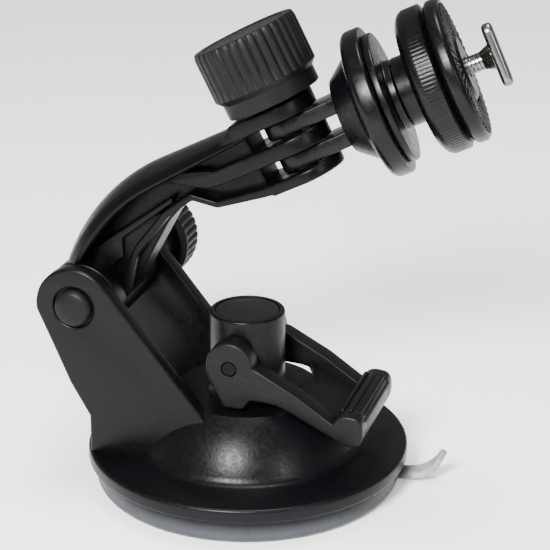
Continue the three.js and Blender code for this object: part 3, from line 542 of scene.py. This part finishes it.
# ------------------------------------------------------------------ lever
def lever():
    arm_top = [(15.5, 26.2), (6.2, PIN_Z + 0.4)]
    foot = soften([
        (-5.2, PIN_Z + 0.4), (-5.2, PIN_Z - 1.5), (-1.6, PIN_Z - 8.8), (-0.8, PIN_Z - 9.4),
        (2.8, PIN_Z - 9.4), (3.7, PIN_Z - 8.5), (4.6, PIN_Z - 6.9), (11, PIN_Z - 7.3),
        (TIP_X - 4.2, TIP_Z + 1.2),
    ], [0, 1.0, 0.6, 0.6, 0.8, 0.6, 1.0, 2.0, 0])
    nose = soften([
        (TIP_X - 4.2, TIP_Z + 1.2), (TIP_X - 1.6, TIP_Z - 0.1), (TIP_X + 1.2, TIP_Z + 0.2),
        (TIP_X + 1.9, TIP_Z + 3.2), (TIP_X + 1.4, TIP_Z + 7.0), (TIP_X - 3.4, TIP_Z + 7.2),
        (TIP_X - 5.0, TIP_Z + 5.0),
    ], [0, 1.2, 1.4, 1.6, 2.4, 1.6, 0])
    side = arc(LEVER_HEAD_R, 0, PIN_Z + LEVER_HEAD_RISE, 0, 180, 28) + foot[1:-1] + nose + arm_top
    hole_r, ring_r, ring_y = PIN_R + 0.25, 2.25, LEVER_OUTER - 0.15
    hole = circle(hole_r, 0, PIN_Z, 32)
    near_side = place(Vector((0, -ring_y, PIN_Z)), X, Z, -Y)
    far_side = place(Vector((0, ring_y, PIN_Z)), Z, X, Y)
    pieces = []
    for low, outward in ((-LEVER_OUTER, near_side), (LEVER_INNER, far_side)):
        pieces.append(plate("cheek", [side, hole], low, low + LEVER_PLATE, SIDE, 0.5))
        pieces.append(lathe("pin_ring", soften([
            (hole_r, -0.3), (ring_r, -0.3), (ring_r, 0.15), (hole_r, 0.15),
        ], 0.12, closed=True), outward, 48, closed=True))
    # the web between the cheeks, from the arch round the post to the valley behind the tip
    web = soften([
        (11.6, 25.0), (13.4, 23.6), (TIP_X - 5.2, TIP_Z + 3.4), (TIP_X - 3.0, TIP_Z + 2.4),
        (TIP_X - 4.2, TIP_Z + 1.4), (12.5, 22.8), (11.4, 23.6),
    ], 0.4, closed=True)
    web_back, web_fade = 11.4, 8.0
    web_half, steps = LEVER_INNER + 0.4, 24
    bm = bmesh.new()
    rings = []
    for k in range(steps + 1):
        y = -web_half + 2 * web_half * k / steps
        arch = math.sqrt(max(ARCH_R ** 2 - y ** 2, 0)) - 12.5
        ring = []
        for x, z in web:
            shift = arch * max(0.0, 1 - (x - web_back) / web_fade)
            ring.append(bm.verts.new((x + shift, y, z - 0.35 * shift)))
        rings.append(ring)
    skin(bm, rings)
    pieces.append(from_bmesh("web", bm, UP, 40))
    # the grooved tip across both cheeks
    pieces.append(plate("tip", [nose], -LEVER_INNER - 0.5, LEVER_INNER + 0.5, SIDE, 0.1))
    grips = [(-3.6, 7.15, 18), (-1.7, 7.3, 4), (0.3, 6.9, -18), (1.6, 5.4, -55)]
    bar_half, bar_reach = 0.45, 10.6
    bar = soften([
        (-bar_half, -bar_reach), (bar_half, -bar_reach), (bar_half, bar_reach),
        (-bar_half, bar_reach),
    ], 0.4, closed=True)
    for dx, dz, lean in grips:
        turn = math.radians(lean)
        x_axis = Vector((math.cos(turn), 0, math.sin(turn)))
        z_axis = Vector((-math.sin(turn), 0, math.cos(turn)))
        m = place(Vector((TIP_X + dx, 0, TIP_Z + dz)), x_axis, Y, z_axis)
        pieces.append(plate("grip", [bar], -0.8, 0.25, m, 0.2))
    return join("lever_body", pieces)


finish_piece(lever(), "lever", LEVER, "matte_black", "cam_lever")


# ------------------------------------------------------------------ knobs and toothed ring
def ribs(count, depth, low, high, sharp=3.0):
    """Rounded ribs between two heights: full radius on the ribs, less between them."""
    def flute(angle, r, z):
        if not low <= z <= high:
            return r
        wave = 0.5 - 0.5 * math.cos(count * angle)
        fade = min(1.0, (z - low) / 0.6, (high - z) / 0.6)
        return r - depth * wave ** sharp * max(fade, 0.0)
    return flute


def grip(name, r, low, high, hub_r, hub_low, count, matrix, recess):
    """A knob: ribbed grip with a dished top on a plain hub that is hollow below."""
    levels = [low + 1.6 + (high - low - 2.8) * k / 6 for k in range(7)]
    profile = soften([
        (recess, hub_low + 2.0), (recess, hub_low), (hub_r, hub_low), (hub_r, low), (r - 1.1, low),
        (r, low + 1.2),
    ], [0, 0.2, 0.35, 0.2, 0.3, 0.7])
    profile += [(r, z) for z in levels[1:]]
    profile += soften([(r, high - 0.4), (r - 0.5, high), (r - 2.2, high)], 0.25)[1:]
    profile += [(r - 2.4, high - 0.22), (0, high - 0.22)]
    flute = ribs(count, 0.42, low + 1.4, high + 0.2)
    return lathe(name, [(0, hub_low + 2.0)] + profile, matrix, count * 10, flute)


top_knob = grip("top_knob_grip", 11.6, 25.6, 37.8, 10.4, 22.2, 34, PAN_AXIS, 6.8)
finish_piece(top_knob, "top_knob", EAR, "matte_black", "pan_knob")
rear_knob = grip("rear_knob_grip", 10.8, 25.0, 35.0, 7.5, 18.9, 36, TILT_AXIS, 5.0)
finish_piece(rear_knob, "rear_knob", EAR, "matte_black", "tilt_knob")


def ratchet():
    """A ring with a tooth every fourth step round its front face."""
    bm = bmesh.new()
    count, inner, outer = 144, 5.0, 8.1
    tip_y, tooth_depth, back_y = 10.75, 0.85, 13.3
    rings = []
    for r, toothed in ((BORE_R, False), (inner, False), (inner, True), (outer, True)):
        ring = []
        for k in range(count):
            a = 2 * math.pi * k / count
            share = abs((k % 4) - 2) / 2 if toothed else 1.0
            height = tip_y + tooth_depth * share
            ring.append(bm.verts.new((r * math.cos(a), r * math.sin(a), height)))
        rings.append(ring)
    for r in (outer, BORE_R):
        rings.append([bm.verts.new((x, y, back_y)) for x, y in circle(r, count=count)])
    for a, b in zip(rings, rings[1:] + rings[:1]):
        for k in range(count):
            j = (k + 1) % count
            bm.faces.new((a[k], a[j], b[j], b[k]))
    return from_bmesh("toothed_ring", bm, TILT_AXIS, 20)


finish_piece(ratchet(), "base", EAR, "matte_black", "ratchet_ring")


def bolt_head():
    seat, head_r, shank_r, shank_end, neck_half = -EAR_OUT + 0.6, 4.25, 2.5, 31.4, 2.65
    dome = lathe("dome_head", soften([
        (0, seat), (head_r, seat), (head_r, seat - 0.9), (3.7, seat - 1.75), (2.2, seat - 2.2),
        (0, seat - 2.35),
    ], [0, 0.15, 0.35, 0.7, 0.7, 0], 6), TILT_AXIS, 96)
    shank = lathe("shank", soften([
        (0, seat - 0.2), (shank_r, seat - 0.2), (shank_r, shank_end), (0, shank_end),
    ], [0, 0, 0.4, 0]), TILT_AXIS, 48)
    square = [(-neck_half, -neck_half), (neck_half, -neck_half), (neck_half, neck_half),
              (-neck_half, neck_half)]
    neck = plate("square_neck", [square], seat - 0.1, -EAR_INNER - 0.4, TILT_AXIS, 0.15)
    return join("bolt_with_dome_head", [dome, shank, neck])


finish_piece(bolt_head(), "base", EAR, "steel", "tilt_bolt")


# ------------------------------------------------------------------ arm
def arm_plate():
    """The crowned plate, rounded at its sides, narrower and thinner towards the fingers."""
    bm = bmesh.new()
    rings = []
    end, bend_turn, bend_steps, flat_steps = SLOT_A + 0.4, math.radians(48.8), 36, 24
    lip, lip_step = 5.2, 0.9
    for i in range(bend_steps + flat_steps + 1):
        if i < bend_steps:
            turn = bend_turn * (1 - i / bend_steps)
            a = ARM_BEND_A - ARM_BEND_R * math.sin(turn)
            b = ARM_TOP - ARM_BEND_R * (1 - math.cos(turn))
        else:
            turn = 0.0
            a = ARM_BEND_A + (end - ARM_BEND_A) * (i - bend_steps) / flat_steps
            b = ARM_TOP
        share = min(max((a - 8) / (SLOT_A - 8), 0), 1)
        half = ARM_HALF + (BODY_HALF - ARM_HALF) * share - 0.05
        thin = 1 - 0.5 * share
        edge = 1.1 * thin
        section = []
        for k in range(17):
            y = -half + 2 * half * k / 16
            drop = CROWN * thin * (y / half) ** 2
            corner = max(0.0, abs(y) - (half - edge)) / edge
            section.append((y, drop + edge * (1 - math.sqrt(max(1 - corner ** 2, 0))) * 0.8))
        low = lip * thin
        rim = [
            (half, low - 0.35), (half - 0.4, low), (half - 1.9, low), (half - 2.3, low - lip_step),
        ]
        section += rim
        for k in range(9):
            y = (half - 2.5) * (1 - 2 * k / 8)
            section.append((y, CROWN * thin * (y / half) ** 2 + TOP_PLATE_T * thin))
        section += [(-y, z) for y, z in reversed(rim)]
        along = Vector((math.cos(turn), 0, math.sin(turn)))
        down = Vector((math.sin(turn), 0, -math.cos(turn)))
        rings.append([bm.verts.new(Vector((a, 0, b)) + Y * y + down * z) for y, z in section])
    skin(bm, rings)
    return from_bmesh("plate", bm, ARM_FLAT, 40)


def arm():
    pieces = [arm_plate()]
    pieces.append(lathe("barrel", soften([
        (BORE_R, -ARM_HALF), (BARREL_R, -ARM_HALF), (BARREL_R, BARREL_FAR), (BORE_R, BARREL_FAR),
    ], [0.2, 0.6, 0.4, 0.2], closed=True), TILT_AXIS, 96, closed=True))
    web = soften([
        (6, -5), (24, 7.6), (31.6, 10.6), (36.2, 6.6), (SLOT_A - 0.2, 6.2), (SLOT_A - 0.2, 18.4),
        (44, 18.6), (26, 17.2), (12, 14.2), (2, 9.2), (-5, 4),
    ], 1.2, closed=True)
    pieces.append(plate("web", [web], -WEB_HALF, WEB_HALF, ARM_SIDE, 0.5))
    upper_rib = soften([
        (-2, 7.6), (13.9, 10.2), (28.4, 12.6), (28.2, 11.4), (13.2, 8.3), (11.5, 4.4), (-2, 1.4),
    ], 0.6, closed=True)
    lower_rib = soften([
        (6.4, -5.4), (14.5, 3.4), (25.4, 8.8), (32.4, 10.2), (37, 6.6), (47, 5.0), (52, 4.35),
        (52, 6.75), (48, 6.8), (37.4, 8.0), (32.6, 11.8), (25, 10.4), (15, 5.6), (7, -1.0),
    ], 0.6, closed=True)
    flare = soften([
        (3.0, -6.6), (8.4, -3.2), (12.4, 1.6), (20.0, 6.2), (27.0, 9.4), (22.0, 11.6), (12.0, 9.0),
        (0.0, 6.0),
    ], 2.6, closed=True)
    tongue = soften([
        (28.0, 16.4), (33.2, 13.4), (37, 11.2), (41, 10.8), (50, 10.8), (50, 14.2), (40, 14.2),
        (31, 17.6),
    ], 0.7, closed=True)
    root = soften([
        (42.5, 17.8), (SLOT_A, 17.9), (51, 18.2), (51, 21.6), (SLOT_A - 0.2, 21.6), (45.5, 20.0),
    ], 0.5, closed=True)
    # each part is a little narrower than the fingers, by its own amount, so no two faces coincide
    for name, loop, inset, edge in (
        ("flare", flare, 1.4, 1.2), ("upper_rib", upper_rib, 0.1, 0.4),
        ("lower_rib", lower_rib, 0.06, 0.4), ("tongue_root", tongue, 0.08, 0.4),
        ("top_root", root, 0.1, 0.4),
    ):
        pieces.append(plate(name, [loop], -BODY_HALF + inset, BODY_HALF - inset, ARM_SIDE, edge))
    # the lowest finger starts later and has a wide hole for the bolt's hexagon head
    low, wide_hole_r, seat_r = FINGERS[0][0], 4.5, 5.6
    for z0, z1 in FINGERS:
        start, hole_r = (47.2, BORE_R) if z0 > low else (50.0, wide_hole_r)
        finger = [(start, -BODY_HALF)] + arc(BODY_HALF, JOINT_A, 0, -90, 90, 32)
        finger.append((start, BODY_HALF))
        hole = circle(hole_r, JOINT_A, 0, 40)
        pieces.append(plate("finger", [finger, hole], z0, z1, ARM_FLAT, 0.45))
    pieces.append(lathe("bolt_seat", soften([
        (wide_hole_r, -0.4), (seat_r, -0.4), (seat_r, 0.6), (wide_hole_r, 0.6),
    ], 0.2, closed=True), place(pan + n * low, d, Y, n), 64, closed=True))
    # a short curved bead on the near and far side of the web, close to the pivot
    bead = [(1.5 + 0.9 * k, 9.6 - 0.03 * (k - 3) ** 2) for k in range(7)]
    for y in (-BODY_HALF, BODY_HALF):
        pieces.append(tube("bead", [(a, b, y) for a, b in bead], 0.28, ARM_SIDE))
    return join("arm_body", pieces)


finish_piece(arm(), "arm", ARM, "gloss_black", "arm")


# ------------------------------------------------------------------ head
def yoke():
    cone = lathe("cone", soften([
        (0, 14.2), (7.0, 14.2), (7.0, CONE_BACK), (8.0, CONE_BACK), (CONE_R, CONE_FRONT),
        (15.3, 17.4), (FLANGE_R, 18.3), (FLANGE_R, FLANGE_FRONT), (2.4, FLANGE_FRONT),
        (2.4, 20.6), (0, 20.6),
    ], [0, 0.2, 0.2, 0.4, 0.5, 0.4, 0.6, 0.55, 0, 0, 0]), HEAD_AXIS, 144)
    prong_loop = arc(PRONG_R, 0, 0, 90, 270, 32) + [(13.4, -PRONG_R), (13.4, PRONG_R)]
    prong_hole = circle(BORE_R, 0, 0, 40)
    root = [(11.9, -5.4), (13.6, -5.4), (13.6, 5.4), (11.9, 5.4)]
    pieces = [cone]
    for z0 in (PRONG_IN, -PRONG_IN - PRONG_T):
        pieces.append(plate("prong", [prong_loop, prong_hole], z0, z0 + PRONG_T, HEAD_FLAT, 0.4))
    for z0, z1 in ((PRONG_IN, 6.0), (-5.6, -PRONG_IN)):
        pieces.append(plate("root", [root], z0, z1, HEAD_FLAT, 0.4))
    return join("yoke_body", pieces)


finish_piece(yoke(), "head", HEAD, "matte_black", "head_yoke")

plate_back, spigot_front, spigot_bore_r, screw_r = FLANGE_FRONT + GAP, 34.4, 3.9, 2.5
hub = lathe("swivel_hub_body", soften([
    (screw_r, plate_back), (PLATE_R, plate_back), (PLATE_R, PLATE_FRONT), (NECK_R, PLATE_FRONT),
    (NECK_R, SEAM), (SPIGOT_R, SEAM), (SPIGOT_R, spigot_front), (spigot_bore_r, spigot_front),
    (spigot_bore_r, 24.0), (screw_r, 24.0),
], [0.1, 0.3, 0.4, 0.5, 0.15, 0.1, 0.2, 0.2, 0.1, 0.1], closed=True), HEAD_AXIS, 128, closed=True)
finish_piece(hub, "swivel", HEAD, "matte_black", "swivel_hub")


def knurl(count, depth, low, high):
    """Narrow straight grooves between two heights."""
    def flute(angle, r, z):
        if not low <= z <= high:
            return r
        share = (count * angle / (2 * math.pi)) % 1.0
        groove = max(0.0, 1 - abs(share - 0.5) / 0.28)
        fade = min(1.0, (z - low) / 0.5, (high - z) / 0.5)
        return r - depth * groove * max(fade, 0.0)
    return flute


wheel_bore_r, neck_back = SPIGOT_R + 0.4, SEAM + GAP
grip_low, grip_length, grooves = 31.1, 3.4, 110
wheel_profile = soften([
    (wheel_bore_r, neck_back), (NECK_R, neck_back), (NECK_R, WHEEL_BACK), (13.5, WHEEL_BACK),
    (15.3, 29.9), (WHEEL_R, grip_low),
], [0, 0.2, 0.4, 0.5, 0.6, 0.4])
wheel_profile += [(WHEEL_R, grip_low + grip_length * k / 6) for k in range(1, 7)]
wheel_profile += soften([(WHEEL_R, 34.6), (15.1, WHEEL_FRONT), (wheel_bore_r, WHEEL_FRONT)], 0.25)
wheel = lathe("knurled_wheel", wheel_profile, HEAD_AXIS, grooves * 8,
              knurl(grooves, 0.06, 30.8, 34.6), closed=True)
finish_piece(wheel, "wheel", HEAD, "matte_black", "thumb_wheel")


def clamp():
    bore_r, dish, boss_front, rib_in, rib_out = 2.4, DISC_FRONT - 0.2, 39.7, 7.6, 14.3
    disc = lathe("disc", soften([
        (bore_r, DISC_BACK), (14.5, DISC_BACK), (DISC_R, 36.4), (DISC_R, 38.4), (15.0, DISC_FRONT),
        (14.6, DISC_FRONT), (rib_out, dish), (7.2, dish), (6.4, boss_front), (bore_r, boss_front),
    ], [0, 0.4, 0.5, 0.4, 0.1, 0.1, 0.1, 0.3, 0.2, 0.1], closed=True), HEAD_AXIS, 144, closed=True)
    bar = [(rib_in, -0.2), (rib_out, -0.34), (rib_out, 0.34), (rib_in, 0.2)]
    pieces = [disc]
    count = 48
    for k in range(count):
        angle = 2 * math.pi * k / count
        axis_r = t * math.cos(angle) + axis_n * math.sin(angle)
        axis_s = -t * math.sin(angle) + axis_n * math.cos(angle)
        m = place(axis_head, axis_r, axis_s, axis_h)
        pieces.append(plate("rib", [bar], 38.6, 39.3, m, 0.14))
    return join("clamp_body", pieces)


finish_piece(clamp(), "clamp", HEAD, "matte_black", "clamp_disc")


# ------------------------------------------------------------------ threaded T stud
def stud():
    bm = bmesh.new()
    sides, pitch, depth, per_turn = 32, 0.8, 0.32, 8
    low, high, bar_low, bar_high = 33.2, 43.0, 45.1, 47.35
    core_r, foot_r, head_z = STUD_R - 0.1, 3.4, 45.3
    rows = int((high - low) / pitch * per_turn)
    rings = []
    for i in range(rows + 1):
        z = low + (high - low) * i / rows
        ring = []
        for k in range(sides):
            phase = ((z / pitch) - k / sides) % 1.0
            r = STUD_R - depth * abs(2 * phase - 1)
            a = 2 * math.pi * k / sides
            ring.append(bm.verts.new((r * math.cos(a), r * math.sin(a), z)))
        rings.append(ring)
    skin(bm, rings)
    pieces = [from_bmesh("thread", bm, HEAD_AXIS, 50)]
    pieces.append(lathe("shoulder", soften([
        (0, 28.0), (foot_r, 28.0), (foot_r, 34.0), (core_r, 34.0), (core_r, high),
        (STUD_R, high + 0.1), (2.9, head_z), (0, head_z),
    ], [0, 0.2, 0.2, 0, 0, 0.2, 0.1, 0]), HEAD_AXIS, 64))
    reach = BAR_LENGTH / 2 - BAR_END_R
    bar = arc(BAR_END_R, 0, reach, 0, 180, 20) + arc(BAR_END_R, 0, -reach, 180, 360, 20)
    pieces.append(plate("bar", [bar], bar_low, bar_high, HEAD_AXIS, 0.75))
    return join("t_stud_body", pieces)


finish_piece(stud(), "swivel", STEEL, "steel", "t_stud")

# ------------------------------------------------------------------ stage, lights and camera
floor_material, floor_tree, floor_bsdf = shader("paper_sweep", (0.93, 0.93, 0.93), 0.75,
                                                Emission_Color=(1, 1, 1, 1), Emission_Strength=0.35)
floor_tone = ramp(floor_tree, noise(floor_tree, 3, 2), (0.9, 0.9, 0.9), (0.95, 0.95, 0.95))
floor_tree.links.new(floor_tone, floor_bsdf.inputs["Base Color"])
bm = bmesh.new()
bmesh.ops.create_grid(bm, x_segments=2, y_segments=2, size=4.0)
floor = from_bmesh("floor", bm, Matrix.Translation((0, 0, -0.0002)))
floor.data.materials.append(floor_material)

world = bpy.context.scene.world or bpy.data.worlds.new("studio")
bpy.context.scene.world = world
world.use_nodes = True
background = world.node_tree.nodes["Background"]
background.inputs["Color"].default_value = (1, 1, 1, 1)
background.inputs["Strength"].default_value = 0.4


def area(name, place_at, aim, size, power):
    """A rectangular lamp turned towards a point; metres and watts."""
    light = bpy.data.lights.new(name, "AREA")
    light.shape = "RECTANGLE"
    light.size, light.size_y = size
    light.energy = power
    obj = bpy.data.objects.new(name, light)
    obj.location = place_at
    obj.rotation_mode = "QUATERNION"
    obj.rotation_quaternion = (Vector(aim) - Vector(place_at)).to_track_quat("-Z", "Y")
    bpy.context.scene.collection.objects.link(obj)


area("key", (-0.02, -0.5, 0.42), (0, 0, 0.03), (0.16, 0.16), 13.0)
area("top", (0.02, 0.1, 0.75), (0, 0, 0.06), (0.3, 0.3), 7.0)
area("side", (0.5, -0.35, 0.3), (0, 0, 0.08), (0.12, 0.25), 1.6)

# the camera fitted to the photo's ellipses and edges
camera_data = bpy.data.cameras.new("camera")
camera_data.sensor_width = 36
camera_data.lens = 124.0
camera_data.clip_start = 0.01
camera = bpy.data.objects.new("camera", camera_data)
right = Vector((0.956304756, 0.292371705, 0))
up = Vector((-0.105728792, 0.345823296, 0.932323801))
back = Vector((0.272585099, -0.891585685, 0.361624570))
camera.matrix_world = Matrix((right, up, back)).transposed().to_4x4()
camera.location = Vector((118.9276, -368.2334, 197.7342)) * MM
bpy.context.scene.collection.objects.link(camera)
bpy.context.scene.camera = camera
